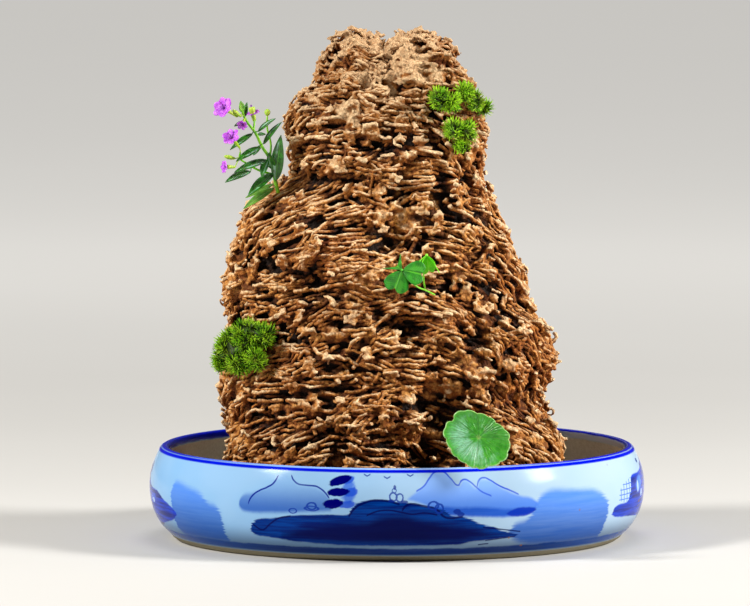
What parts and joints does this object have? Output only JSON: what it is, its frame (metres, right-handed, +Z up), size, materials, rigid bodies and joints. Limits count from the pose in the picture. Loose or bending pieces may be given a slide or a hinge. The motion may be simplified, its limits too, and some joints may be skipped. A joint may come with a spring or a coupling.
{
  "type": "planted tufa stone in a tray",
  "caption": "Crag-shaped stone grown from petrified reeds, standing in a shallow round glazed tray and planted with moss, a flowering sprig, clover and pennywort.",
  "frame": {"origin": "on the table, on the axis of the round tray", "axes": "+Z up, +X to the right of the front as seen, -Y towards the viewer of the front, where the pennywort leaf hangs over the rim"},
  "size_m": [0.195, 0.195, 0.203],
  "materials": {
    "glaze": "gloss",
    "tufa": "matte",
    "moss": "matte",
    "leaf": "satin",
    "stem": "satin",
    "petal": "matte"
  },
  "bodies": {
    "root": {"tray": "glaze", "stone": "tufa", "moss_cushion_left": "moss", "moss_tuft_upper": "moss", "moss_tuft_lower": "moss", "sprig_stem_main": "stem", "sprig_stem_low": "stem", "sprig_stem_back": "stem", "sprig_stem_side": "stem", "clover_leaf_front": "leaf", "clover_leaf_back": "leaf", "clover_stalk_front": "stem", "clover_stalk_back": "stem", "pennywort_stalk": "stem", "pennywort_leaf": "leaf", "sprig_leaf_01": "leaf", "sprig_leaf_02": "leaf", "sprig_leaf_03": "leaf", "sprig_leaf_04": "leaf", "sprig_leaf_05": "leaf", "sprig_leaf_06": "leaf", "sprig_leaf_07": "leaf", "sprig_leaf_08": "leaf", "sprig_leaf_09": "leaf", "sprig_leaf_10": "leaf", "sprig_leaf_11": "leaf", "sprig_leaf_12": "leaf", "sprig_leaf_13": "leaf", "sprig_leaf_14": "leaf", "sprig_leaf_15": "leaf", "sprig_leaf_16": "leaf", "sprig_leaf_17": "leaf", "sprig_calyx_1": "stem", "sprig_calyx_2": "stem", "sprig_calyx_3": "stem", "sprig_calyx_4": "stem", "sprig_calyx_5": "stem", "sprig_petals_1": "petal", "sprig_petals_2": "petal", "sprig_petals_3": "petal", "sprig_petals_4": "petal", "sprig_petals_5": "petal", "sprig_bud_1": "stem", "sprig_bud_2": "stem", "sprig_bud_3": "stem"}
  },
  "joints": []
}
